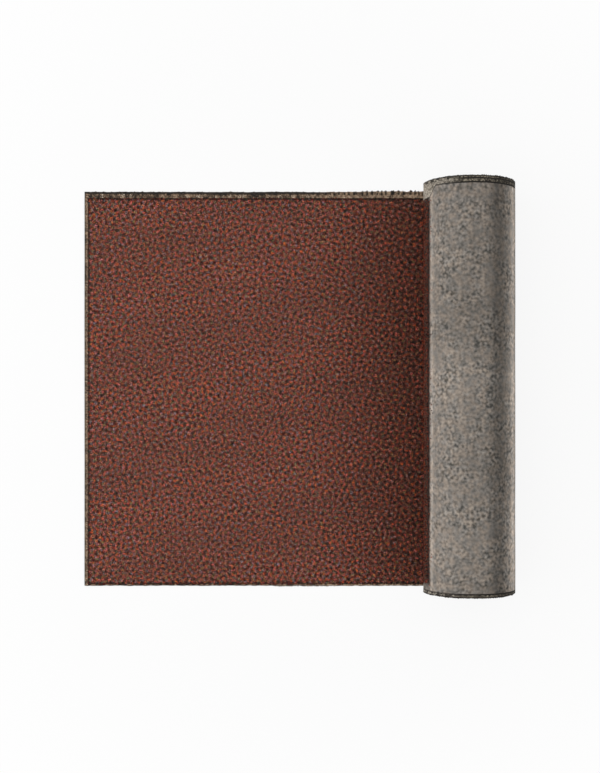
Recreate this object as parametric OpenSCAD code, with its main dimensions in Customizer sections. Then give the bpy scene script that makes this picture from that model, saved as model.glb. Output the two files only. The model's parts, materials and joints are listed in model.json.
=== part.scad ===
// Roll of mineral-faced roofing felt, partly laid out.
// One strip of felt lies on the floor with its granules up, runs under its own roll and is
// wound up over its face, so that the roll shows the sanded back.
// X runs along the laid-out felt towards the roll, Y along the roll, and Z up.
// The origin is the middle of the footprint, on the floor.

/* [Felt] */
// Width of the felt, from edge to edge
felt_width = 1000; // [500:10:1200]
// Whole length of the felt, laid out and wound
felt_length = 10000; // [6000:100:15000]
// Thickness of the felt, over its granules
felt_thickness = 4; // [3:0.1:6]
// Thickness of the granule layer on the face
granule_depth = 1; // [0.5:0.1:1.5]
// Bare strip without granules along the far edge
far_margin = 16; // [5:1:100]
// Bare strip without granules along the near edge
near_margin = 5; // [2:1:100]

/* [Roll] */
// Length of felt that lies flat, up to the line where it starts to curl
laid_length = 960; // [300:10:2500]
// Diameter of the bore that winding leaves through the roll
bore_d = 60; // [40:1:120]

/* [Hidden] */
$fn = 128;

// How far a cutting shape runs past the face that it cuts
overcut = 1;

// The felt without its granules
mat_depth = felt_thickness - granule_depth;

// The wound length fills the ring between the bore and the mean outer radius
bore_r = bore_d / 2;
wound_length = felt_length - laid_length;
mean_r = sqrt(pow(bore_r, 2) + wound_length * felt_thickness / PI);
laps = floor((mean_r - bore_r) / felt_thickness);

// The winding is a spiral of half turns about two axes. Each half turn is an arc half a
// thickness smaller than the one before it, so each whole turn lies one thickness further in.
axis_step = felt_thickness / 2;
right_r = mean_r + axis_step / 2;
left_r = right_r - axis_step;
right_axis_z = right_r;
left_axis_z = right_axis_z + axis_step;
bore_z = (right_axis_z + left_axis_z) / 2;

// The line on the floor where the felt starts to curl, with the footprint centred on X
curl_x = (laid_length - right_r) / 2;

// Half of the winding's section, from its axis out to its outer lap. The granules stop short
// of both edges, which leaves a gap between each lap and the next one in.
module winding_section(outer_r) {
    difference() {
        translate([0, -felt_width / 2])
            square([outer_r, felt_width]);
        for (lap = [1 : laps - 1]) {
            gap_r = outer_r - lap * felt_thickness;
            translate([gap_r, felt_width / 2 - far_margin])
                square([granule_depth, far_margin + overcut]);
            translate([gap_r, -felt_width / 2 - overcut])
                square([granule_depth, near_margin + overcut]);
        }
    }
}

// Half turns about the Y axis, on the +X side
module half_winding(outer_r) {
    rotate([-90, -90, 0])
        rotate_extrude(angle = 180)
            winding_section(outer_r);
}

// The wound felt: right-hand and left-hand half turns, with a round bore
module wound_felt() {
    difference() {
        union() {
            translate([curl_x, 0, right_axis_z])
                half_winding(right_r);
            translate([curl_x, 0, left_axis_z])
                mirror([1, 0, 0])
                    half_winding(left_r);
        }
        translate([curl_x, 0, bore_z])
            rotate([90, 0, 0])
                cylinder(d = bore_d, h = felt_width + 2 * overcut, center = true);
    }
}

// The felt that lies flat: its mat over the full width, and the granules between the margins
module laid_out_felt() {
    translate([curl_x - laid_length, -felt_width / 2, 0]) {
        cube([laid_length, felt_width, mat_depth]);
        translate([0, near_margin, 0])
            cube([laid_length, felt_width - near_margin - far_margin, felt_thickness]);
    }
}

// The whole strip, which is one piece
module roofing_felt() {
    color("#7d756c")
        wound_felt();
    color("#6b4539")
        laid_out_felt();
}

roofing_felt();
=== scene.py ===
"""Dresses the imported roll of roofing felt: one strip in a true spiral, with stones and a sanded back."""
import json
import math

import bpy
import numpy as np
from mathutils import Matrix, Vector


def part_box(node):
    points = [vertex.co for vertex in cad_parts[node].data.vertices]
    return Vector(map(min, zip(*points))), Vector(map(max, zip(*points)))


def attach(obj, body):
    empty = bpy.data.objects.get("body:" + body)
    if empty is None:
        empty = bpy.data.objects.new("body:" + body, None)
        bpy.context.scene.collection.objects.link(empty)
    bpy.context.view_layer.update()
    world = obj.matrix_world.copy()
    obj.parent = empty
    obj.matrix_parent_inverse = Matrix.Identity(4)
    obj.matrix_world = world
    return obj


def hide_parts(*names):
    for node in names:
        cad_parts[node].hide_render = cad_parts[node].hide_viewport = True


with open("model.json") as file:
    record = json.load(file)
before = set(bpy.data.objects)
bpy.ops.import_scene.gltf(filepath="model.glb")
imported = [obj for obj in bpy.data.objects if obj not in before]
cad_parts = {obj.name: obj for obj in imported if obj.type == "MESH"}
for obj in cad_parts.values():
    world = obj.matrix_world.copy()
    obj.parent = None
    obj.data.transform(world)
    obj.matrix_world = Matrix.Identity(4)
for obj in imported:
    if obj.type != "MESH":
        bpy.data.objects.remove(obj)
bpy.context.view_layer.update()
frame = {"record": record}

SEED = 20
MM = 0.001

# Sizes of the felt, in metres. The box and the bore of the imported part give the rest.
FELT_LENGTH = 10.0
FELT_THICKNESS = 4.0 * MM
MAT_THICKNESS = 3.0 * MM
FACE_HEIGHT = 3.6 * MM
EDGE_ROUNDING = 0.9 * MM
FAR_MARGIN = 16 * MM
NEAR_MARGIN = 5 * MM
END_MARGIN = 9 * MM

low, high = (np.array(corner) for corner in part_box("roofing_felt"))
bore = next(m for m in frame["record"]["mounts"] if m["name"] == "bore")
CURL_X, _, BORE_Z = bore["pos_m"]
FREE_X = low[0]
HALF_WIDTH = (high[1] - low[1]) / 2
RIGHT_R = (high[2] - low[2]) / 2
AXIS_STEP = FELT_THICKNESS / 2
LAID_LENGTH = CURL_X - FREE_X
FIRST_TURN = math.pi * (2 * RIGHT_R - AXIS_STEP)

# The borders of the stones on the face, and the place near the roll where they end
FAR_LINE = HALF_WIDTH - FAR_MARGIN
NEAR_LINE = NEAR_MARGIN - HALF_WIDTH
END_LINE = FREE_X + END_MARGIN
NIP_X = CURL_X - 22 * MM

# How the felt lies: where the roll comes to hold it flat, the waves and the curl of its free end, and the
# room that the outer lap has over the top of the roll
HELD_X = (CURL_X - 0.30, CURL_X - 0.12)
WAVE_HEIGHT = 1.0 * MM
CURL_HEIGHT = 1.6 * MM
CURL_REACH = 0.07
OUTER_SLACK = 0.9 * MM

# The stones and the face get painted shade towards the roll, between these places, and the stones more
# contrast
ROLL_SHADE_X = (0.0, CURL_X - 0.10)

# Near the roll, the sand on the far edge goes over from clumps to two rows. From there on the edge has tufts
# and dark teeth, unevenly spaced, which reach as far in as the outer row.
TUFTS_FROM_X = 0.08
ROWS_X = (0.0, TUFTS_FROM_X)
OUTER_ROW = 8 * MM
TOOTH_PITCH = 13.5 * MM
TOOTH_SHAKES = ((61, 0.25), (143, 0.15))
TOOTH_EDGE = (0.0, 0.7)

# The camera looks straight down from a little nearer than the middle of the felt, with the picture's
# window moved back over the felt, so that the felt's edges stay upright in the picture.
IMAGE_H = 773
FOCAL_PX = 1240
CAMERA_AT = (10.5 * MM, -75 * MM, 3.151)
WINDOW_SHIFT_PX = 31.85
SENSOR_H = 24.0


# Small helpers for numbers, colours and objects

def linear(red, green, blue):
    """A shader colour from the 0 to 255 values of a screen colour."""
    def channel(value):
        value /= 255
        return value / 12.92 if value <= 0.04045 else ((value + 0.055) / 1.055) ** 2.4
    return (channel(red), channel(green), channel(blue), 1.0)


def grey(value):
    return (value, value, value, 1.0)


def new_object(name, data):
    """Puts a new object in the scene."""
    thing = bpy.data.objects.new(name, data)
    bpy.context.scene.collection.objects.link(thing)
    return thing


def smooth_noise(rng, at, length, cell):
    """Random numbers that change smoothly along a line, from -1 to 1, read at the given places."""
    knots = rng.uniform(-1, 1, int(length / cell) + 3)
    knot = np.clip(at / cell, 0, len(knots) - 2)
    index = knot.astype(int)
    share = knot - index
    share = share * share * (3 - 2 * share)
    return knots[index] * (1 - share) + knots[index + 1] * share


def ease(value, start, end):
    """Rises smoothly from 0 at start to 1 at end."""
    share = np.clip((value - start) / (end - start), 0, 1)
    return share * share * (3 - 2 * share)


def lift(x, y):
    """How far the laid felt stands off the floor: slow waves, and a slight curl at its cut end."""
    waves = 0.4 + 0.25 * np.sin(x * 21 + 1.3) * np.cos(y * 9 + 0.4) + 0.15 * np.sin(y * 23 - x * 7)
    held = 1 - ease(x, *HELD_X)
    curl = ease(FREE_X + CURL_REACH - x, 0, CURL_REACH) * (1 + 0.3 * np.sin(y * 11))
    return WAVE_HEIGHT * waves * held + CURL_HEIGHT * curl


def slack(run, y):
    """How far the outer lap stands off the lap inside it: nothing under the roll, a little over its top."""
    turn = 2 * math.pi * np.clip(run / FIRST_TURN, 0, 1)
    waves = 0.5 + 0.25 * np.sin(y * 17 + turn * 2) + 0.25 * np.sin(y * 31 - turn * 3 + 0.7)
    return OUTER_SLACK * np.sin(turn / 2) ** 2 * waves


def tooth(x):
    """1 at the dark teeth of bitumen on the far edge near the roll, and 0 in the gaps between them."""
    turns = x / TOOTH_PITCH + sum(share * np.sin(x * rate) for rate, share in TOOTH_SHAKES)
    return ease(np.sin(2 * math.pi * turns), *TOOTH_EDGE)


# Shader node helpers

def add(tree, kind, inputs=None, **settings):
    """Adds a shader node, sets its options, and links or sets its inputs by name or number."""
    node = tree.nodes.new("ShaderNode" + kind)
    for name, value in settings.items():
        setattr(node, name, value)
    for name, value in (inputs or {}).items():
        if isinstance(value, bpy.types.NodeSocket):
            tree.links.new(value, node.inputs[name])
        else:
            node.inputs[name].default_value = value
    return node


def new_material(name, roughness, specular):
    material = bpy.data.materials.new(name)
    material.use_nodes = True
    tree = material.node_tree
    shader = tree.nodes["Principled BSDF"]
    shader.inputs["Roughness"].default_value = roughness
    shader.inputs["Specular IOR Level"].default_value = specular
    return material, tree, shader


def place(tree):
    """The point on the object, in metres."""
    return add(tree, "TexCoord").outputs["Object"]


def axis(tree, name):
    """One coordinate of the point on the object: X along the felt, Y across it, Z up."""
    return add(tree, "SeparateXYZ", {0: place(tree)}).outputs[name]


def attribute(tree, name):
    return add(tree, "Attribute", attribute_name=name).outputs["Fac"]


def noise(tree, size, detail=2.0, roughness=0.5):
    """Noise from 0 to 1 whose patches are about this size, in metres."""
    inputs = {"Vector": place(tree), "Scale": 1 / size, "Detail": detail, "Roughness": roughness}
    return add(tree, "TexNoise", inputs).outputs["Fac"]


def cells(tree, size):
    """A texture of cells of about this size, in metres."""
    return add(tree, "TexVoronoi", {"Vector": place(tree), "Scale": 1 / size})


def chance(tree, cell):
    """A random number for each cell of such a texture, from 0 to 1."""
    return add(tree, "SeparateColor", {0: cell.outputs["Color"]}).outputs[0]


def ramp(tree, factor, *stops):
    """A colour ramp with (position, colour) stops."""
    node = add(tree, "ValToRGB", {"Fac": factor})
    elements = node.color_ramp.elements
    while len(elements) < len(stops):
        elements.new(0.5)
    for element, (position, colour) in zip(elements, stops):
        element.position = position
        element.color = colour
    return node.outputs["Color"]


def shades(tree, factor, start, end, stops):
    """Greys along a quantity: the stops give its value and the grey there."""
    share = add(tree, "MapRange", {"Value": factor, "From Min": start, "From Max": end}).outputs["Result"]
    greys = [((value - start) / (end - start), grey(shade)) for value, shade in stops]
    return ramp(tree, share, *greys)


def mix(tree, factor, first, second, blend="MIX"):
    """Mixes two colours."""
    node = add(tree, "Mix", data_type="RGBA", blend_type=blend)
    for index, value in ((0, factor), (6, first), (7, second)):
        if isinstance(value, bpy.types.NodeSocket):
            tree.links.new(value, node.inputs[index])
        else:
            node.inputs[index].default_value = value
    return node.outputs[2]


def times(tree, first, second):
    """The product of two colours."""
    return mix(tree, 1.0, first, second, blend="MULTIPLY")


def maths(tree, operation, first, second=0.0):
    return add(tree, "Math", {0: first, 1: second}, operation=operation).outputs[0]


def product(tree, first, second):
    """The product of two values."""
    return maths(tree, "MULTIPLY", first, second)


def largest(tree, first, *others):
    """The largest of several values."""
    for other in others:
        first = maths(tree, "MAXIMUM", first, other)
    return first


def weighted(tree, *parts):
    """The sum of values, each times its share."""
    total = 0.0
    for value, share in parts:
        total = maths(tree, "ADD", product(tree, value, share), total)
    return total


def step(tree, value, start, end):
    """0 before start and 1 after end, with a smooth rise between, or the other way round."""
    rising = start < end
    inputs = {"Value": value, "From Min": min(start, end), "From Max": max(start, end),
              "To Min": 0.0 if rising else 1.0, "To Max": 1.0 if rising else 0.0}
    return add(tree, "MapRange", inputs, interpolation_type="SMOOTHSTEP").outputs["Result"]


def line(tree, value, at, half_width, blur):
    """1 within half_width of a place along a quantity, fading to 0 over blur."""
    gap = maths(tree, "ABSOLUTE", maths(tree, "SUBTRACT", value, at))
    return step(tree, gap, half_width + blur, half_width)


def ragged(tree, value, size, amount):
    """The value shaken a little, so that lines drawn by it aren't straight."""
    shake = product(tree, maths(tree, "SUBTRACT", noise(tree, size), 0.5), 2 * amount)
    return maths(tree, "ADD", value, shake)


def bump(tree, shader, height, strength, distance):
    node = add(tree, "Bump", {"Height": height, "Strength": strength, "Distance": distance})
    tree.links.new(node.outputs["Normal"], shader.inputs["Normal"])


# Materials of the stones, the sand and the face

BITUMEN = linear(30, 27, 24)
BITUMEN_WORN = linear(60, 52, 44)
TAN_SAND = linear(112, 92, 74)
TALC = linear(166, 144, 120)
STONE_COOL = (1.0, 1.0, 1.6, 1.0)
STONE_WARM = (1.0, 1.0, 0.4, 1.0)

# The dark line along the far edge is whole up to the second of these places, and has gone by the first
DARK_EDGE_X = (0.14, 0.04)


def tooth_shade(tree):
    """What tooth gives, for a shader."""
    x = axis(tree, "X")
    shakes = [(maths(tree, "SINE", product(tree, x, rate)), share) for rate, share in TOOTH_SHAKES]
    turns = weighted(tree, (x, 1 / TOOTH_PITCH), *shakes)
    return step(tree, maths(tree, "SINE", product(tree, turns, 2 * math.pi)), *TOOTH_EDGE)


def margin_colour(tree):
    """Bare bitumen with tan sand and talc clinging to it in clumps, and in two rows near the roll."""
    y = axis(tree, "Y")
    outer_row = step(tree, y, HALF_WIDTH - OUTER_ROW - 1 * MM, HALF_WIDTH - OUTER_ROW + 1 * MM)
    teeth = product(tree, tooth_shade(tree), outer_row)
    between = line(tree, y, HALF_WIDTH - 5.5 * MM, 1.0 * MM, 2.0 * MM)
    rows = weighted(tree, (teeth, -0.12), (between, -0.06), (1.0, 0.08))
    rows = product(tree, step(tree, axis(tree, "X"), *ROWS_X), rows)
    clumps = noise(tree, 9 * MM, detail=3, roughness=0.65)
    sand = weighted(tree, (clumps, 0.7), (noise(tree, 2.2 * MM), 0.3), (rows, 1.0))
    return ramp(tree, sand, (0.40, BITUMEN), (0.47, BITUMEN_WORN), (0.54, TAN_SAND), (0.64, TALC))


def granule_material():
    """Crushed stone: each stone has a shade, redness and warmth of its own, with painted shade near the roll.
    """
    material, tree, shader = new_material("granules", 0.9, 0.05)
    tone = attribute(tree, "tone")
    brown = ramp(
        tree, tone,
        (0.00, linear(0, 6, 5)),
        (0.25, linear(10, 40, 34)),
        (0.50, linear(107, 108, 98)),
        (0.75, linear(134, 130, 118)),
        (1.00, linear(160, 153, 140)),
    )
    red = ramp(
        tree, tone,
        (0.00, linear(48, 2, 1)),
        (0.25, linear(106, 18, 10)),
        (0.50, linear(197, 84, 58)),
        (0.75, linear(222, 100, 70)),
        (1.00, linear(248, 124, 90)),
    )
    # Painted shade near the roll, deepest on the darker stones
    painted_shade = ramp(
        tree, tone,
        (0.0, (0.06, 0.05, 0.04, 1.0)),
        (0.5, (0.50, 0.39, 0.31, 1.0)),
        (1.0, (0.80, 0.61, 0.49, 1.0)),
    )
    colour = mix(tree, attribute(tree, "hue"), brown, red)
    colour = times(tree, colour, mix(tree, attribute(tree, "warm"), STONE_COOL, STONE_WARM))
    grain = ramp(tree, noise(tree, 0.7 * MM), (0.3, grey(0.75)), (0.7, grey(1.2)))
    shade = mix(tree, step(tree, axis(tree, "X"), *ROLL_SHADE_X), grey(1.0), painted_shade)
    colour = times(tree, times(tree, colour, grain), shade)
    tree.links.new(colour, shader.inputs["Base Color"])
    return material


def sand_material():
    """Coarse sand and crumbs of bitumen that cling to the bare edges."""
    material, tree, shader = new_material("edge_sand", 0.8, 0.3)
    colour = ramp(
        tree, attribute(tree, "tone"),
        (0.00, linear(24, 21, 18)),
        (0.35, linear(62, 47, 37)),
        (0.60, linear(128, 102, 81)),
        (0.80, linear(190, 164, 138)),
        (1.00, linear(226, 208, 186)),
    )
    grain = ramp(tree, noise(tree, 0.8 * MM), (0.3, grey(0.8)), (0.7, grey(1.15)))
    tree.links.new(times(tree, colour, grain), shader.inputs["Base Color"])
    return material


def bare_face(tree, x, y):
    """1 on the strips of the face that are bare of stones, along three of its edges."""
    far = step(tree, y, FAR_LINE - 1 * MM, FAR_LINE + 1 * MM)
    near = step(tree, y, NEAR_LINE + 0.5 * MM, NEAR_LINE - 0.5 * MM)
    end = step(tree, x, END_LINE + 0.5 * MM, END_LINE - 0.5 * MM)
    return largest(tree, far, near, end)


def face_lines(tree, x, y):
    """The dark lines on the face: along the borders of the stones, the far edge and the free end."""
    far_edge = step(tree, y, HALF_WIDTH - 7.5 * MM, HALF_WIDTH - 5.5 * MM)
    free_end = step(tree, x, FREE_X + 3.5 * MM, FREE_X + 2 * MM)
    return largest(
        tree,
        line(tree, y, FAR_LINE - 2.9 * MM, 1.2 * MM, 1.4 * MM),
        line(tree, y, NEAR_LINE + 2.5 * MM, 1.2 * MM, 1.4 * MM),
        line(tree, x, END_LINE + 2 * MM, 1.2 * MM, 1.2 * MM),
        product(tree, far_edge, step(tree, axis(tree, "X"), *DARK_EDGE_X)),
        product(tree, free_end, 0.7),
    )


def face_material():
    """The felt's face: bitumen full of small stones, with bare strips along its edges."""
    material, tree, shader = new_material("felt_face", 0.85, 0.25)
    stone_cells = cells(tree, 2.6 * MM)
    stones = ramp(
        tree, chance(tree, stone_cells),
        (0.0, linear(30, 26, 24)),
        (0.4, linear(57, 40, 34)),
        (0.7, linear(81, 52, 43)),
        (1.0, linear(110, 63, 49)),
    )
    # Painted shade on the face near the roll
    shade_from, shade_to = ROLL_SHADE_X
    painted_shade = shades(tree, axis(tree, "X"), 0.0, CURL_X, ((shade_from, 1.0), (shade_to, 0.84)))
    x = ragged(tree, axis(tree, "X"), 6 * MM, 1.0 * MM)
    y = ragged(tree, axis(tree, "Y"), 6 * MM, 1.2 * MM)
    colour = mix(tree, bare_face(tree, x, y), times(tree, stones, painted_shade), margin_colour(tree))
    colour = mix(tree, product(tree, face_lines(tree, x, y), 0.9), colour, BITUMEN)
    tree.links.new(colour, shader.inputs["Base Color"])
    height = maths(tree, "ADD", stone_cells.outputs["Distance"], noise(tree, 1.2 * MM))
    bump(tree, shader, height, 0.6, 0.8 * MM)
    return material


# Materials of the back and the cut edges

# Places round the roll, in degrees from its top: minus over the laid felt, plus on the other side. A pair
# gives where something starts and where it is complete.
# Where the specks fade under the painted highlights, on both sides of the roll
HIGHLIGHT_LEFT = (-46, -58)
HIGHLIGHT_RIGHT = (46, 56)
PALE_CORNER = (-51, -67)
FAR_SIDE = (-34, -14)
# Red dust and painted shade on the roll's lower side, and a painted shadow line along their upper border
DUST_AND_SHADE = (-60.5, -68)
SHADOW_LINE_ANGLE = -67.5

# Where the dust and painted shade start and end along the roll
DUST_AND_SHADE_Y = (-0.477, 0.458)
DUST_AND_SHADE_FADE = 8 * MM

# Painted light and shade on the back, as greys by degrees round the roll that lighten or darken it: painted
# light on the side over the laid felt, with a painted highlight line low on that side, a painted core shadow
# just past the top on the other side, and a painted rim highlight lower on that side
PAINTED_SHADING_ROUND = (
    (-66.5, 1.0), (-62, 1.85), (-59.5, 1.8), (-56, 1.3), (-52, 1.18), (-34, 1.1),
    (-19, 1.04), (-5, 1.0), (12, 1.0), (20, 0.78), (27, 0.55), (37, 0.57),
    (46, 0.98), (53, 1.35), (58, 2.1), (64, 2.4), (70, 1.8), (79, 1.0),
)
# Darker and lighter bands along the roll, by metres
BANDS_ALONG = (
    (-0.48, 0.94), (-0.38, 1.08), (-0.20, 0.97), (-0.10, 1.02), (0.03, 1.10),
    (0.12, 0.93), (0.19, 0.85), (0.33, 0.97), (0.48, 0.92),
)

# Greys round the roll on the bare strips along the edges of the back: lighter low on the side of the laid
# felt, and painted shade from a little past the top on. Then the inner border of the near strip
BARE_SHADING_ROUND = ((-75, 1.4), (-50, 1.0), (20, 1.0), (34, 0.45), (60, 0.6))
BACK_NEAR_LINE = 8 * MM - HALF_WIDTH

SAND_COOL = (0.96, 1.0, 1.04, 1.0)
SAND_WARM = (1.04, 1.0, 0.96, 1.0)
# The red dust's tint, darkened further as painted shade on the roll's lower side, and the colour of the
# painted shadow line along its upper border
DUST_AND_SHADE_TINT = (0.26, 0.175, 0.145, 1.0)
SHADOW_LINE_COLOUR = linear(32, 16, 12)


def round_angle(tree):
    """The angle round the roll, in degrees: 0 on top, plus on the side away from the laid felt."""
    out = maths(tree, "SUBTRACT", axis(tree, "X"), CURL_X)
    up = maths(tree, "SUBTRACT", axis(tree, "Z"), BORE_Z)
    return maths(tree, "DEGREES", maths(tree, "ARCTAN2", out, up))


def back_specks(tree, angle):
    """Specks of sand and bitumen, stronger in some patches and weaker under the painted highlights on both
    sides of the roll.
    """
    under_highlight = largest(tree, step(tree, angle, *HIGHLIGHT_LEFT), step(tree, angle, *HIGHLIGHT_RIGHT))
    lively = step(tree, noise(tree, 55 * MM), 0.3, 0.7)
    contrast = weighted(tree, (lively, 0.70), (under_highlight, -0.26), (1.0, 0.30))
    specks = maths(tree, "SUBTRACT", noise(tree, 7.2 * MM, detail=0.6), 0.5)
    return maths(tree, "ADD", product(tree, specks, contrast), 0.5)


def back_sand(tree, specks):
    """Grey sand pressed into bitumen."""
    blots = noise(tree, 15 * MM)
    patches = noise(tree, 90 * MM)
    colour = ramp(
        tree, weighted(tree, (specks, 0.70), (blots, 0.20), (patches, 0.10)),
        (0.34, linear(74, 71, 66)),
        (0.45, linear(111, 105, 98)),
        (0.53, linear(132, 124, 116)),
        (0.66, linear(157, 148, 138)),
    )
    grain = ramp(tree, noise(tree, 1.6 * MM, roughness=0.6), (0.3, grey(0.9)), (0.7, grey(1.1)))
    tint = step(tree, noise(tree, 15 * MM, detail=1), 0.32, 0.68)
    return times(tree, colour, times(tree, grain, mix(tree, tint, SAND_COOL, SAND_WARM)))


def back_pits(tree):
    """1 in the small pits where sand has come off."""
    pit_cells = cells(tree, 8 * MM)
    middle = step(tree, pit_cells.outputs["Distance"], 0.30, 0.14)
    return product(tree, middle, step(tree, chance(tree, pit_cells), 0.55, 0.75))


def dust_and_painted_shade(tree):
    """How much red dust and painted shade darken the roll, and how much of it is a painted shadow line along
    its upper border.

    The dust and painted shade cover all of the roll's lower side over the laid felt, but for the bare edges.
    """
    angle = ragged(tree, ragged(tree, round_angle(tree), 30 * MM, 1.5), 6 * MM, 1.5)
    y = ragged(tree, axis(tree, "Y"), 12 * MM, 6 * MM)
    start, end = DUST_AND_SHADE_Y
    dust = step(tree, angle, *DUST_AND_SHADE)
    dust = product(tree, dust, step(tree, y, start - DUST_AND_SHADE_FADE, start + DUST_AND_SHADE_FADE))
    dust = product(tree, dust, step(tree, y, end + DUST_AND_SHADE_FADE, end - DUST_AND_SHADE_FADE))
    return dust, line(tree, angle, SHADOW_LINE_ANGLE, 2.0, 2.5)


def back_colour(tree, angle, specks):
    """The sanded back, with painted light and shade round the roll, darker and lighter bands along it, pits,
    and dust with painted shade on its lower side.
    """
    angle = ragged(tree, angle, 12 * MM, 1.2)
    along = ragged(tree, axis(tree, "Y"), 60 * MM, 0.03)
    # Painted light and shade round the roll: lighter over the laid felt, a painted highlight line, a painted
    # core shadow and a painted rim highlight
    colour = times(tree, back_sand(tree, specks), shades(tree, angle, -180, 180, PAINTED_SHADING_ROUND))
    colour = times(tree, colour, shades(tree, along, -0.5, 0.5, BANDS_ALONG))
    colour = mix(tree, product(tree, back_pits(tree), 0.35), colour, BITUMEN_WORN)
    # Red dust and painted shade on the lower side, with a painted shadow line at their upper border
    dust, shadow_line = dust_and_painted_shade(tree)
    dusted_and_shaded = mix(tree, product(tree, shadow_line, 0.8), times(tree, colour, DUST_AND_SHADE_TINT), SHADOW_LINE_COLOUR)
    return mix(tree, dust, colour, dusted_and_shaded)


def bare_back(tree, angle, away):
    """The bare strips along the back's edges: pale over the laid felt, and dark with crumbs further round,
    with painted shade from a little past the top on.
    """
    crumbs = noise(tree, 5 * MM, detail=3, roughness=0.65)
    pale = ramp(
        tree, crumbs,
        (0.38, linear(84, 78, 70)),
        (0.55, linear(148, 140, 128)),
        (0.70, linear(178, 170, 156)),
    )
    dark = ramp(tree, crumbs, (0.37, BITUMEN), (0.50, linear(84, 78, 68)), (0.64, linear(150, 141, 124)))
    return times(tree, mix(tree, away, pale, dark), shades(tree, angle, -180, 180, BARE_SHADING_ROUND))


def back_rim(tree, y, away):
    """The dark rim of the back: its very edges, a line beside the far one, and teeth that reach in."""
    beside = product(tree, line(tree, y, HALF_WIDTH - 7 * MM, 1.0 * MM, 1.2 * MM), away)
    out = ragged(tree, maths(tree, "ABSOLUTE", axis(tree, "Y")), 5 * MM, 2 * MM)
    edges = step(tree, out, HALF_WIDTH - 2.6 * MM, HALF_WIDTH - 1.6 * MM)
    spots = step(tree, cells(tree, 9 * MM).outputs["Distance"], 0.58, 0.46)
    teeth = product(tree, spots, step(tree, out, HALF_WIDTH - 9 * MM, HALF_WIDTH - 7 * MM))
    teeth = product(tree, teeth, weighted(tree, (away, -0.5), (1.0, 0.9)))
    return largest(tree, beside, edges, teeth)


def back_material():
    """The felt's back: grey sand with painted light and shade round the roll, and a bare strip and dark lines
    along both edges.
    """
    material, tree, shader = new_material("sanded_back", 0.85, 0.2)
    angle = round_angle(tree)
    away = step(tree, angle, *FAR_SIDE)
    specks = back_specks(tree, angle)
    y = ragged(tree, axis(tree, "Y"), 10 * MM, 0.8 * MM)
    far_y = weighted(tree, (step(tree, angle, *PALE_CORNER), FAR_LINE - DUST_AND_SHADE_Y[1]), (y, 1.0))
    far = step(tree, far_y, FAR_LINE, FAR_LINE + 1 * MM)
    near = step(tree, y, BACK_NEAR_LINE, BACK_NEAR_LINE - 1 * MM)
    sanded = back_colour(tree, angle, specks)
    colour = mix(tree, largest(tree, far, near), sanded, bare_back(tree, angle, away))
    far_thin = line(tree, far_y, FAR_LINE - 0.5 * MM, 1.2 * MM, 1.4 * MM)
    near_thin = line(tree, y, BACK_NEAR_LINE + 0.5 * MM, 1.0 * MM, 1.4 * MM)
    darkness = weighted(tree, (away, 0.25), (1.0, 0.75))
    colour = mix(tree, product(tree, largest(tree, far_thin, near_thin), darkness), colour, BITUMEN)
    colour = mix(tree, back_rim(tree, y, away), colour, BITUMEN)
    tree.links.new(colour, shader.inputs["Base Color"])
    height = weighted(tree, (noise(tree, 1.6 * MM, roughness=0.6), 0.6), (specks, 1.5))
    bump(tree, shader, height, 0.5, 0.8 * MM)
    return material


def edge_material():
    """The cut edges: dark bitumen with the fibre mat showing through as a paler line."""
    material, tree, shader = new_material("cut_edge", 0.7, 0.4)
    dust = noise(tree, 6 * MM, detail=4, roughness=0.7)
    colour = ramp(tree, dust, (0.40, BITUMEN), (0.52, BITUMEN_WORN), (0.66, linear(112, 100, 86)))
    mat_line = line(tree, attribute(tree, "depth"), 0.5, 0.06, 0.10)
    fibre = mix(tree, noise(tree, 1.5 * MM), linear(84, 74, 62), linear(158, 142, 120))
    colour = mix(tree, product(tree, mat_line, 0.7), colour, fibre)
    tree.links.new(colour, shader.inputs["Base Color"])
    bump(tree, shader, noise(tree, 1.0 * MM, detail=3), 0.5, 0.6 * MM)
    return material


# The strip

FLAT_STATIONS = 240
OUTER_STEPS = 80
INNER_STEPS = 26
OUTER_HALF_TURNS = 3

# The laps' wander starts and is complete at these lengths. The cut edges are ragged in waves of these
# heights and lengths, in millimetres.
WANDER_S = (LAID_LENGTH + 0.1, LAID_LENGTH + 1.2)
WANDER = 1.6 * MM
CUT_WAVES = ((0.6, 7), (0.5, 60))

# The strip's colour map: for each part of the section, a stretch along the strip and its columns on the map.
# The cut edges and the two cut ends have the last columns.
MAP_NAME = "OFBake"
MAP_GAP = 0.003
SHOWN_OUTER = LAID_LENGTH + 0.8
SHOWN_INNER = FELT_LENGTH - 0.25
MAP_STRETCHES = (
    ("back", 0.0, LAID_LENGTH, 0.74, 0.80),
    ("back", LAID_LENGTH, SHOWN_OUTER, 0.00, 0.42),
    ("back", SHOWN_OUTER, FELT_LENGTH, 0.85, 0.87),
    ("face", 0.0, LAID_LENGTH, 0.42, 0.74),
    ("face", LAID_LENGTH, SHOWN_INNER, 0.87, 0.90),
    ("face", SHOWN_INNER, FELT_LENGTH, 0.80, 0.85),
)
MAP_EDGES_FROM = 0.90
MAP_EDGES_WIDTH = 0.09
MAP_ENDS_FROM = 0.993
MAP_ENDS_WIDTH = 0.005

# A station that is nearer than this to the start of a stretch belongs to it
SAME_PLACE = 1e-9


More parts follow.
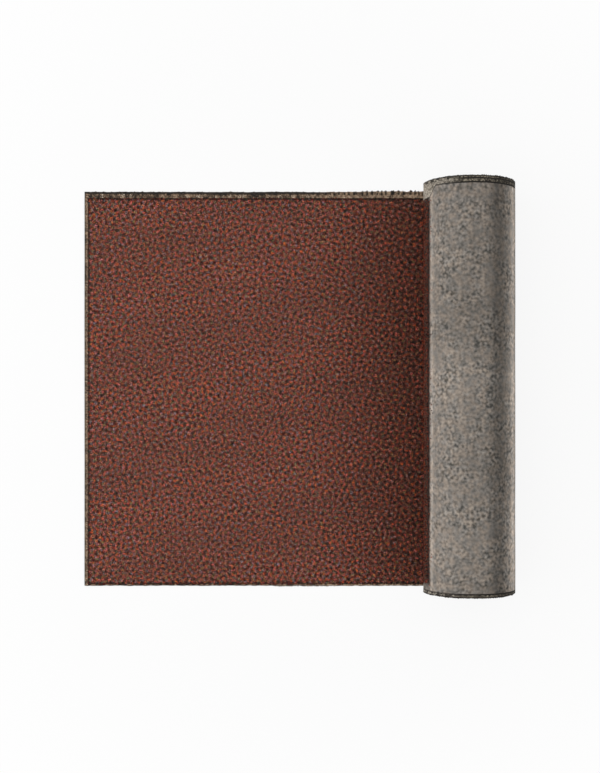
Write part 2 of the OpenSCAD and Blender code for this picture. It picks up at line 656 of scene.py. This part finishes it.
def strip_stations():
    """Stations along the strip's back: length from the free end, x, z, and the way to the face."""
    flat = np.linspace(0, LAID_LENGTH, FLAT_STATIONS + 1)[:-1]
    rows = [(s, FREE_X + s, 0.0, 0.0, 1.0) for s in flat]
    start = LAID_LENGTH
    half_turn = 0
    while start < FELT_LENGTH:
        radius = RIGHT_R - half_turn * AXIS_STEP
        centre_z = RIGHT_R + (half_turn % 2) * AXIS_STEP
        length = min(math.pi * radius, FELT_LENGTH - start)
        steps = OUTER_STEPS if half_turn < OUTER_HALF_TURNS else INNER_STEPS
        for i in range(steps):
            run = length * i / steps
            turn = -math.pi / 2 + math.pi * half_turn + run / radius
            x, z = math.cos(turn), math.sin(turn)
            rows.append((start + run, CURL_X + radius * x, centre_z + radius * z, -x, -z))
        start += length
        half_turn += 1
    return np.array(rows)


def strip_section():
    """The strip's section: places across it, heights over its back, and the part that starts there."""
    far, near, top, r = HALF_WIDTH, -HALF_WIDTH, MAT_THICKNESS, EDGE_ROUNDING
    across_back = np.linspace(near + r, far - r, 25)
    across_face = np.linspace(FAR_LINE - 1 * MM, NEAR_LINE + 1 * MM, 14)
    points = [(y, 0.0, "back") for y in across_back]
    points[-1] = (far - r, 0.0, "edge")
    points += [(far - 0.3 * r, 0.3 * r, "edge"), (far, r, "edge"), (far, top - r, "edge")]
    points += [(far - 0.3 * r, top - 0.3 * r, "edge"), (far - r, top, "face")]
    points += [(FAR_LINE, top, "face")]
    points += [(y, FACE_HEIGHT, "face") for y in across_face]
    points += [(NEAR_LINE, top, "face"), (near + r, top, "edge")]
    points += [(near + 0.3 * r, top - 0.3 * r, "edge"), (near, top - r, "edge")]
    points += [(near, r, "edge"), (near + 0.3 * r, 0.3 * r, "edge")]
    return points


def edge_shifts(s):
    """How far both edges wander at these stations, and how far the far and the near cut are ragged."""
    rng = np.random.default_rng(SEED)
    wander = ease(s, *WANDER_S) * WANDER * smooth_noise(rng, s, FELT_LENGTH, 0.55)
    far_cut, near_cut = (
        sum(size * MM * smooth_noise(rng, s, FELT_LENGTH, cell * MM) for size, cell in CUT_WAVES)
        for _ in range(2)
    )
    return wander, far_cut, near_cut


def edge_shift(s, end):
    """How far the far edge, or with end -1 the near one, lies from its true place at these stations."""
    wander, far_cut, near_cut = edge_shifts(s)
    return wander + (far_cut if end > 0 else near_cut)


def strip_points(rows, y, height):
    """The strip's points: for each station, the section's places and heights bent to the spiral."""
    s, x, z, nx, nz = (column[:, None] for column in rows.T)
    wander, far_cut, near_cut = edge_shifts(s)
    at_far = ease(y, HALF_WIDTH - 6 * MM, HALF_WIDTH - 2 * MM)
    at_near = ease(-y, HALF_WIDTH - 4 * MM, HALF_WIDTH - 1 * MM)
    points_y = y + wander + far_cut * at_far + near_cut * at_near
    inward = height - slack(s - LAID_LENGTH, points_y)
    points_x = x + nx * inward
    points_z = z + nz * inward
    points_z = points_z + np.where(s < LAID_LENGTH, lift(points_x, points_y), 0.0)
    return np.stack([points_x, points_y, points_z], axis=-1).reshape(-1, 3)


def strip_faces(count, ring):
    """The faces between the stations' rings of points, and then the two cut ends."""
    ring_start = np.arange(count - 1)[:, None] * ring
    first = ring_start + np.arange(ring)
    after = ring_start + (np.arange(ring) + 1) % ring
    quads = np.stack([first, first + ring, after + ring, after], axis=-1).reshape(-1, 4)
    free_end = list(range(ring))
    inner_end = list(range(count * ring - 1, (count - 1) * ring - 1, -1))
    return [*quads.tolist(), free_end, inner_end]


def map_strip(mesh, s, y, height, parts):
    """Lays the strip out flat on its colour map, with most room for the stretches that show.

    s holds the stations along the strip, y and height the section's points, and parts the name of each
    stretch of the section. The faces are in the order of the stations, and the two cut ends come last.
    """
    stations, points = np.meshgrid(np.arange(len(s) - 1), np.arange(len(y)), indexing="ij")
    after = (points + 1) % len(y)
    corner_s = s[np.stack([stations, stations + 1, stations + 1, stations], axis=-1)]
    corner_point = np.stack([points, points, after, after], axis=-1)
    part = np.array(parts)[points]
    begin = s[stations]
    u = np.zeros(corner_s.shape)
    v = (y[corner_point] + HALF_WIDTH) / (2 * HALF_WIDTH)
    for name, s_from, s_to, u_from, u_to in MAP_STRETCHES:
        here = (part == name) & (begin >= s_from - SAME_PLACE) & (begin < s_to - SAME_PLACE)
        share = np.clip((corner_s[here] - s_from) / (s_to - s_from), 0, 1)
        u[here] = u_from + MAP_GAP + share * (u_to - u_from - 2 * MAP_GAP)
    edge = part == "edge"
    metre = np.floor(begin[edge])[:, None]
    column = metre * 2 + (y[corner_point[edge]] > 0)
    depth = height[corner_point[edge]] / MAT_THICKNESS
    width = MAP_EDGES_WIDTH / (2 * math.ceil(FELT_LENGTH))
    u[edge] = MAP_EDGES_FROM + (column + 0.2 + 0.6 * depth) * width
    v[edge] = np.clip(corner_s[edge] - metre, 0, 1)
    end_u = MAP_ENDS_FROM + MAP_ENDS_WIDTH * height / FELT_THICKNESS
    ends = np.stack([end_u, (y + HALF_WIDTH) / (4 * HALF_WIDTH)], axis=1)
    places = np.concatenate([np.stack([u, v], axis=-1).reshape(-1, 2), ends, ends[::-1] + [0, 0.5]])
    mesh.uv_layers.new(name=MAP_NAME).data.foreach_set("uv", places.ravel())


def build_strip():
    """The felt as one closed mesh, from its free end to its inner end."""
    rows = strip_stations()
    places, heights, parts = zip(*strip_section())
    y = np.array(places)
    height = np.array(heights)
    faces = strip_faces(len(rows), len(y))
    mesh = bpy.data.meshes.new("felt_strip")
    mesh.from_pydata(strip_points(rows, y, height).tolist(), [], faces)
    materials = {"back": back_material(), "face": face_material(), "edge": edge_material()}
    for material in materials.values():
        mesh.materials.append(material)
    slots = [list(materials).index(part) for part in parts]
    ends = [list(materials).index("edge")] * 2
    mesh.polygons.foreach_set("material_index", slots * (len(rows) - 1) + ends)
    mesh.polygons.foreach_set("use_smooth", [True] * (len(faces) - 2) + [False] * 2)
    depth = mesh.attributes.new("depth", "FLOAT", "POINT")
    depth.data.foreach_set("value", np.tile(height / MAT_THICKNESS, len(rows)))
    mesh.update()
    map_strip(mesh, rows[:, 0], y, height, parts)
    return new_object("felt_strip", mesh)


# Chips of stone and sand

CHIP_SIDES = 4
CHIP_SINK = 0.15 * MM


def shaken_grid(rng, us, vs, cell):
    """Places on a grid, each shaken by a little less than half of this cell."""
    u, v = (grid.ravel() for grid in np.meshgrid(us, vs, indexing="ij"))
    u = u + rng.uniform(-0.42, 0.42, len(u)) * cell
    v = v + rng.uniform(-0.42, 0.42, len(v)) * cell
    return u, v


def chip_points(rng, centre, out, along, size, height):
    """The corners and the leaning top of each chip, sunk a little in the surface that it lies on."""
    count, sides = len(centre), CHIP_SIDES
    side = np.cross(out, along)
    angle = rng.uniform(0, 2 * math.pi, (count, 1))
    angle = angle + (np.arange(sides) + rng.uniform(-0.28, 0.28, (count, sides))) * 2 * math.pi / sides
    radius = size[:, None] * rng.uniform(0.75, 1.2, (count, sides))
    lean = rng.uniform(-0.5, 0.5, (2, count, 1)) * size[:, None]
    points = np.empty((count, sides + 1, 3))
    points[:, :sides] = (centre - CHIP_SINK * out)[:, None]
    points[:, :sides] += (radius * np.cos(angle))[..., None] * along[:, None]
    points[:, :sides] += (radius * np.sin(angle))[..., None] * side[:, None]
    points[:, sides] = centre + lean[0] * along + lean[1] * side + height[:, None] * out
    points[..., 2] = np.maximum(points[..., 2], 0)
    return points


def map_chips(mesh, count, corners):
    """Gives each chip a square of its own on the piece's colour map."""
    columns = math.ceil(math.sqrt(count))
    square = np.stack([np.arange(count) % columns, np.arange(count) // columns], axis=1)[:, None]
    spots = np.array([(0.1, 0.1), (0.9, 0.1), (0.9, 0.9), (0.1, 0.9), (0.5, 0.5)])
    places = ((square + spots) / columns).reshape(-1, 2)
    mesh.uv_layers.new(name=MAP_NAME).data.foreach_set("uv", places[corners].ravel())


def build_chips(name, centre, out, along, size, height, looks, rng, material):
    """One joined mesh of closed, four-sided chips.

    centre, out and along hold a point and two directions for each chip, size and height its measures,
    and looks the attributes that its material reads.
    """
    count, sides = len(centre), CHIP_SIDES
    points = chip_points(rng, centre, out, along, size, height)
    chip = [(i, (i + 1) % sides, sides) for i in range(sides)] + [(0, 2, 1), (0, 3, 2)]
    corners = (np.arange(count)[:, None, None] * (sides + 1) + np.array(chip)).reshape(-1)
    mesh = bpy.data.meshes.new(name)
    mesh.vertices.add(points.size // 3)
    mesh.vertices.foreach_set("co", points.ravel())
    mesh.loops.add(len(corners))
    mesh.loops.foreach_set("vertex_index", corners)
    mesh.polygons.add(len(corners) // 3)
    mesh.polygons.foreach_set("loop_start", np.arange(0, len(corners), 3))
    mesh.update(calc_edges=True)
    mesh.shade_flat()
    for look, values in looks.items():
        layer = mesh.attributes.new(look, "FLOAT", "POINT")
        layer.data.foreach_set("value", np.repeat(values, sides + 1))
    map_chips(mesh, count, corners)
    mesh.materials.append(material)
    return new_object(name, mesh)


def level(count):
    """The outward and along directions of chips that lie on a level face."""
    return np.tile([0.0, 0.0, 1.0], (count, 1)), np.tile([1.0, 0.0, 0.0], (count, 1))


def sideways(centre):
    """The outward directions of chips on the cut edges."""
    return np.tile([0.0, 1.0, 0.0], (len(centre), 1)) * np.sign(centre[:, 1:2])


def lap_run(degrees):
    """How far along the outer lap these angles from straight up lie, from where the felt starts to curl."""
    return RIGHT_R * (math.pi - np.radians(degrees))


def round_roll(degrees, y, outside=0.0):
    """Points on the outer lap at these angles from straight up, with their outward and along directions."""
    turn = np.radians(degrees)
    right = turn > 0
    radius = np.where(right, RIGHT_R, RIGHT_R - AXIS_STEP) + outside + slack(lap_run(degrees), y)
    centre_z = np.where(right, RIGHT_R, RIGHT_R + AXIS_STEP)
    nothing = np.zeros(len(turn))
    out = np.stack([np.sin(turn), nothing, np.cos(turn)], axis=1)
    along = np.stack([np.cos(turn), nothing, -np.sin(turn)], axis=1)
    centre = np.stack([CURL_X + radius * out[:, 0], y, centre_z + radius * out[:, 2]], axis=1)
    return centre, out, along


# Stones

STONE_CELL = 3.0 * MM
STONE_R = 1.8 * MM
STONE_PIECES = 4

# Like stones lie in clusters, from noise on a grid of this cell between two blurs, in cells
CLUSTER_CELL = 1.6 * MM
CLUSTER_BLURS = (1.8, 2.2)

# Stones this near to the borders are soaked with bitumen
SOAKED_REACH = 6 * MM

# Stones that cling to the roll: the stretch round it that they may lie on, in degrees from its top.
# Then, in degrees down from it: where the first few begin, where most do, and where they thin out.
STUCK_ROUND = (-140, -58)
FEW_STUCK = (60, 65)
MOST_STUCK = (67, 73)
FEWER_STUCK = (95, 130)
STUCK_CLUMPS = (20 * MM, 7 * MM)


def blurred(grid, sigma):
    """The grid smoothed by a bell curve of this width, in cells."""
    reach = int(3 * sigma) + 1
    bell = np.exp(-0.5 * (np.arange(-reach, reach + 1) / sigma) ** 2)
    bell /= bell.sum()
    for direction in (0, 1):
        grid = np.apply_along_axis(np.convolve, direction, grid, bell, mode="same")
    return grid


def clusters(rng, x, y):
    """Numbers spread as a normal curve, which group like stones in small, evenly spaced clusters."""
    shape = (int(LAID_LENGTH / CLUSTER_CELL) + 2, int(2 * HALF_WIDTH / CLUSTER_CELL) + 2)
    field = rng.standard_normal(shape)
    fine, coarse = CLUSTER_BLURS
    for _ in range(2):
        field = blurred(field, fine) - blurred(field, coarse)
    field /= field.std()
    column = ((x - FREE_X) / CLUSTER_CELL).astype(int)
    row = ((y + HALF_WIDTH) / CLUSTER_CELL).astype(int)
    return field[column, row]


def ranks(values):
    """The values' ranks, evenly spread from 0 to 1."""
    return (np.argsort(np.argsort(values)) + 0.5) / len(values)


def dryness(x, y):
    """How much of its brightness a stone keeps: less along the borders, where bitumen soaks it."""
    border = np.minimum(FAR_LINE - 2 * MM - y, 1.3 * (y - NEAR_LINE))
    border = np.minimum(border, 0.8 * (x - END_LINE))
    return 0.4 + 0.6 * ease(border, 0, SOAKED_REACH)


def build_granules(material):
    """The stones on the laid felt, in several pieces from the free end to the roll."""
    rng = np.random.default_rng(SEED + 1)
    xs = np.arange(END_LINE, NIP_X, STONE_CELL)
    ys = np.arange(NEAR_LINE, FAR_LINE, STONE_CELL)
    x, y = shaken_grid(rng, xs, ys, STONE_CELL)
    tone, hue, warm = (
        clusters(rng, x, y) + 0.1 * rng.standard_normal(len(x))
        for _ in range(3)
    )
    # More contrast between the stones under the painted shade near the roll
    spread = 0.92 + 0.5 * ease(x, *ROLL_SHADE_X)
    tone = dryness(x, y) * np.clip(0.5 + 0.2 * spread * tone, 0, 1)
    hue, warm = ranks(hue), ranks(warm)
    size = STONE_R * rng.uniform(0.8, 1.15, len(x))
    height = rng.uniform(0.35, 1.0, len(x)) * MM
    centre = np.stack([x, y, FACE_HEIGHT + lift(x, y)], axis=1)
    pieces = []
    for index, part in enumerate(np.array_split(np.argsort(x, kind="stable"), STONE_PIECES)):
        looks = {"tone": tone[part], "hue": hue[part], "warm": warm[part]}
        pieces.append(build_chips(f"granules_{index + 1}", centre[part], *level(len(part)),
                                  size[part], height[part], looks, rng, material))
    return pieces


def build_stuck_granules(material):
    """Stones that cling to the back of the roll, low down on the side of the laid felt."""
    rng = np.random.default_rng(SEED + 2)
    degrees = np.arange(*STUCK_ROUND, math.degrees(STONE_CELL / RIGHT_R))
    degrees, y = shaken_grid(rng, degrees, np.arange(*DUST_AND_SHADE_Y, STONE_CELL), STONE_CELL)
    clumps = sum(smooth_noise(rng, y - DUST_AND_SHADE_Y[0], 2 * HALF_WIDTH, size) for size in STUCK_CLUMPS)
    down = -(degrees + 2.0 * clumps)
    thick = 0.25 * ease(down, *FEW_STUCK) + 0.75 * ease(down, *MOST_STUCK)
    thick = thick * (1 - 0.7 * ease(down, *FEWER_STUCK))
    kept = rng.uniform(0, 1, len(y)) < 0.62 * thick
    degrees, y = degrees[kept], y[kept]
    spans = {"tone": (0, 0.6), "hue": (0.4, 1), "warm": (0, 1)}
    looks = {look: rng.uniform(*span, len(y)) for look, span in spans.items()}
    size = STONE_R * rng.uniform(0.8, 1.15, len(y))
    height = rng.uniform(0.6, 1.7, len(y)) * MM
    return build_chips("stuck_granules", *round_roll(degrees, y), size, height, looks, rng, material)


# Sand, crumbs and tufts on the bare edges

SAND_CELL = 2.7 * MM
CRUMB_PITCH = 19 * MM

# The far rim is as sandy as the rest up to the first of these places, and darkest from the second on
DARK_RIM_X = (-0.32, -0.22)

# The stretch of the near edge that has crumbs, and the stretch over which the tufts reach their full height
NEAR_CRUMBS_X = (-50 * MM, 100 * MM)
TUFTS_GROW_X = (0.12, 0.22)


def build_sand(name, rng, material, centre, out, along, tone, wide=1.0, tall=1.0):
    """One piece of grains or crumbs, that are wide and tall times as large as sand."""
    size = rng.uniform(0.9, 1.9, len(centre)) * wide * MM
    height = rng.uniform(0.3, 1.1, len(centre)) * tall * MM
    return build_chips(name, centre, out, along, size, height, {"tone": tone}, rng, material)


def laid_rim(rng, x, end=1):
    """Points on the far cut edge of the laid felt, or with end -1 on its near one, at these places."""
    y = end * HALF_WIDTH + edge_shift(x - FREE_X, end)
    z = lift(x, end * HALF_WIDTH) + rng.uniform(0.8, 2.4, len(x)) * MM
    return np.stack([x, y, z], axis=1)


def far_sand_tone(x, y, clumps):
    """How pale the sand on the far strip is: in clumps with a dark rim, and near the roll in two rows."""
    outer = y > HALF_WIDTH - OUTER_ROW
    dark_rim = ease(x, *DARK_RIM_X)
    in_clumps = 0.48 + 0.6 * clumps
    in_clumps = np.where(outer, in_clumps * (1 - 0.75 * dark_rim), in_clumps + 0.08 * dark_rim)
    inner_row = 0.63 + 0.3 * clumps - 0.25 * tooth(x + TOOTH_PITCH / 2)
    in_rows = np.where(outer, 0.66 - 0.55 * tooth(x), inner_row)
    near_roll = ease(x, *ROWS_X)
    return in_clumps * (1 - near_roll) + in_rows * near_roll


def far_sand(rng, material):
    """Sand on the bare strip along the far edge of the laid felt."""
    xs = np.arange(FREE_X + 4 * MM, NIP_X, SAND_CELL)
    ys = np.arange(HALF_WIDTH - 14.8 * MM, HALF_WIDTH - 6 * MM, SAND_CELL)
    x, y = shaken_grid(rng, xs, ys, SAND_CELL)
    kept = rng.uniform(0, 1, len(x)) < 0.8
    x, y = x[kept], y[kept]
    clumps = smooth_noise(rng, x - FREE_X, LAID_LENGTH, 9 * MM)
    tone = far_sand_tone(x, y, clumps) + rng.uniform(-0.15, 0.15, len(x))
    centre = np.stack([x, y, MAT_THICKNESS + lift(x, y)], axis=1)
    return build_sand("far_sand", rng, material, centre, *level(len(x)), np.clip(tone, 0, 1))


def end_sand(rng, material):
    """Sand on the bare strip along the free end."""
    xs = np.arange(FREE_X + 3.4 * MM, END_LINE, 2.2 * MM)
    ys = np.arange(-HALF_WIDTH + 3 * MM, HALF_WIDTH - 4 * MM, SAND_CELL)
    x, y = shaken_grid(rng, xs, ys, 1.6 * MM)
    tone = rng.uniform(0.52, 0.82, len(x))
    centre = np.stack([x, y, FACE_HEIGHT + lift(x, y)], axis=1)
    return build_sand("end_sand", rng, material, centre, *level(len(x)), tone)


def edge_crumbs(rng, material):
    """Crumbs of bitumen on the far cut edge of the laid felt, and on both edges of the outer lap."""
    x = np.arange(FREE_X + 10 * MM, TUFTS_FROM_X, CRUMB_PITCH)
    x = x + rng.uniform(-6, 6, len(x)) * MM
    degrees = np.arange(-96, 66, 2.0)
    degrees = degrees + rng.uniform(-0.8, 0.8, len(degrees))
    rims = [laid_rim(rng, x)]
    alongs = [level(len(x))[1]]
    for end in (1, -1):
        rim, _, along = round_roll(degrees, np.full(len(degrees), end * HALF_WIDTH), outside=-1.3 * MM)
        rim[:, 1] += edge_shift(LAID_LENGTH + lap_run(degrees), end)
        rims.append(rim)
        alongs.append(along)
    centre = np.concatenate(rims)
    tone = rng.uniform(0, 0.45, len(centre))
    return build_sand("edge_crumbs", rng, material, centre, sideways(centre), np.concatenate(alongs),
                      tone, wide=1.5, tall=1.5)


def near_crumbs(rng, material):
    """Larger crumbs along a stretch of the near cut edge."""
    x = np.arange(*NEAR_CRUMBS_X, 3.6 * MM)
    x = x + rng.uniform(-1.5, 1.5, len(x)) * MM
    centre = laid_rim(rng, x, end=-1)
    tone = rng.uniform(0.2, 0.7, len(x))
    return build_sand("near_crumbs", rng, material, centre, sideways(centre), level(len(x))[1],
                      tone, wide=1.5, tall=3.0)


def edge_tufts(rng, material):
    """Tufts of bitumen and sand on the far cut edge near the roll, darker and taller at the teeth."""
    x = np.repeat(np.arange(TUFTS_FROM_X, CURL_X - RIGHT_R + 20 * MM, 3.2 * MM), 3)
    x = x + rng.uniform(-1.5, 1.5, len(x)) * MM
    grown = ease(x, *TUFTS_GROW_X)
    tone = 1.0 - 0.15 * grown - (0.4 + 0.25 * grown) * tooth(x) + rng.uniform(-0.1, 0.1, len(x))
    centre = laid_rim(rng, x)
    tall = (0.8 + 0.1 * grown + (0.4 + 1.3 * grown) * tooth(x)) * (1 + grown)
    return build_sand("edge_tufts", rng, material, centre, sideways(centre), level(len(x))[1],
                      tone, wide=2.0, tall=tall)


def build_edge_sand(material):
    """Sand, crumbs and tufts on the bare strips and the cut edges."""
    rng = np.random.default_rng(SEED + 3)
    return [build(rng, material) for build in (far_sand, end_sand, edge_crumbs, near_crumbs, edge_tufts)]


# Floor, light and camera

FLOOR_REACH = 8.0
FLOOR_Z = -0.3 * MM
DOME_STRENGTH = 0.76


def direct_rays(tree):
    """1 for what is seen straight on, in a reflection or through glass, and 0 for light on things."""
    seen = add(tree, "LightPath").outputs
    return largest(tree, seen["Is Camera Ray"], seen["Is Glossy Ray"], seen["Is Transmission Ray"])


def floor_material():
    """Pale and matt where light falls on it, and nearly white to the camera, wholly so further out."""
    material = bpy.data.materials.new("pale_floor")
    material.use_nodes = True
    tree = material.node_tree
    tree.nodes.clear()
    diffuse = add(tree, "BsdfDiffuse", {"Color": grey(0.85)})
    white = add(tree, "Emission", {"Color": grey(1.0), "Strength": 1.0})
    distance = add(tree, "VectorMath", {0: place(tree)}, operation="LENGTH").outputs["Value"]
    whiteness = weighted(tree, (step(tree, distance, 0.6, 1.8), 0.13), (1.0, 0.87))
    share = product(tree, direct_rays(tree), whiteness)
    mixed = add(tree, "MixShader", {0: share, 1: diffuse.outputs[0], 2: white.outputs[0]})
    output = add(tree, "OutputMaterial")
    tree.links.new(mixed.outputs[0], output.inputs["Surface"])
    return material


def build_floor():
    """A pale floor that takes the object's shadow, and fades to white all round for the camera."""
    mesh = bpy.data.meshes.new("floor")
    signs = ((-1, -1), (1, -1), (1, 1), (-1, 1))
    corners = [(x * FLOOR_REACH, y * FLOOR_REACH, FLOOR_Z) for x, y in signs]
    mesh.from_pydata(corners, [], [(0, 1, 2, 3)])
    mesh.materials.append(floor_material())
    floor = new_object("floor", mesh)


def add_light(name, at, to, size_x, size_y, watts):
    """A rectangular soft light that the camera doesn't see."""
    light = bpy.data.lights.new(name, "AREA")
    light.shape = "RECTANGLE"
    light.size = size_x
    light.size_y = size_y
    light.energy = watts
    lamp = new_object(name, light)
    lamp.location = at
    lamp.rotation_euler = (Vector(to) - Vector(at)).to_track_quat("-Z", "Y").to_euler()
    lamp.visible_camera = False


def build_light():
    """A bright dome, a large soft panel at the upper left, and a low strip for the roll's left side."""
    world = bpy.data.worlds.new("studio")
    world.use_nodes = True
    tree = world.node_tree
    background = tree.nodes["Background"]
    background.inputs["Color"].default_value = grey(1.0)
    levels = {"Value": direct_rays(tree), "To Min": DOME_STRENGTH, "To Max": 1.0}
    strength = add(tree, "MapRange", levels).outputs["Result"]
    tree.links.new(strength, background.inputs["Strength"])
    bpy.context.scene.world = world
    add_light("panel", (-1.9, 0.0, 2.3), (0.2, 0.0, 0.0), 3.0, 3.0, 27)
    add_light("low_strip", (-2.4, 0.0, 0.3), (0.4, 0.0, 0.12), 1.6, 0.3, 10)


def build_camera():
    """A camera at the photo's viewing angle."""
    data = bpy.data.cameras.new("camera")
    data.sensor_fit = "VERTICAL"
    data.sensor_height = SENSOR_H
    data.lens = SENSOR_H * FOCAL_PX / IMAGE_H
    data.shift_y = WINDOW_SHIFT_PX / IMAGE_H
    camera = new_object("camera", data)
    camera.location = CAMERA_AT
    bpy.context.scene.camera = camera


build_camera()
build_light()
build_floor()

felt = build_strip()
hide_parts("roofing_felt")
stone = granule_material()
sand = sand_material()
for piece in [felt, *build_granules(stone), build_stuck_granules(stone), *build_edge_sand(sand)]:
    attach(piece, "root")

bpy.context.scene.view_settings.view_transform = "Standard"
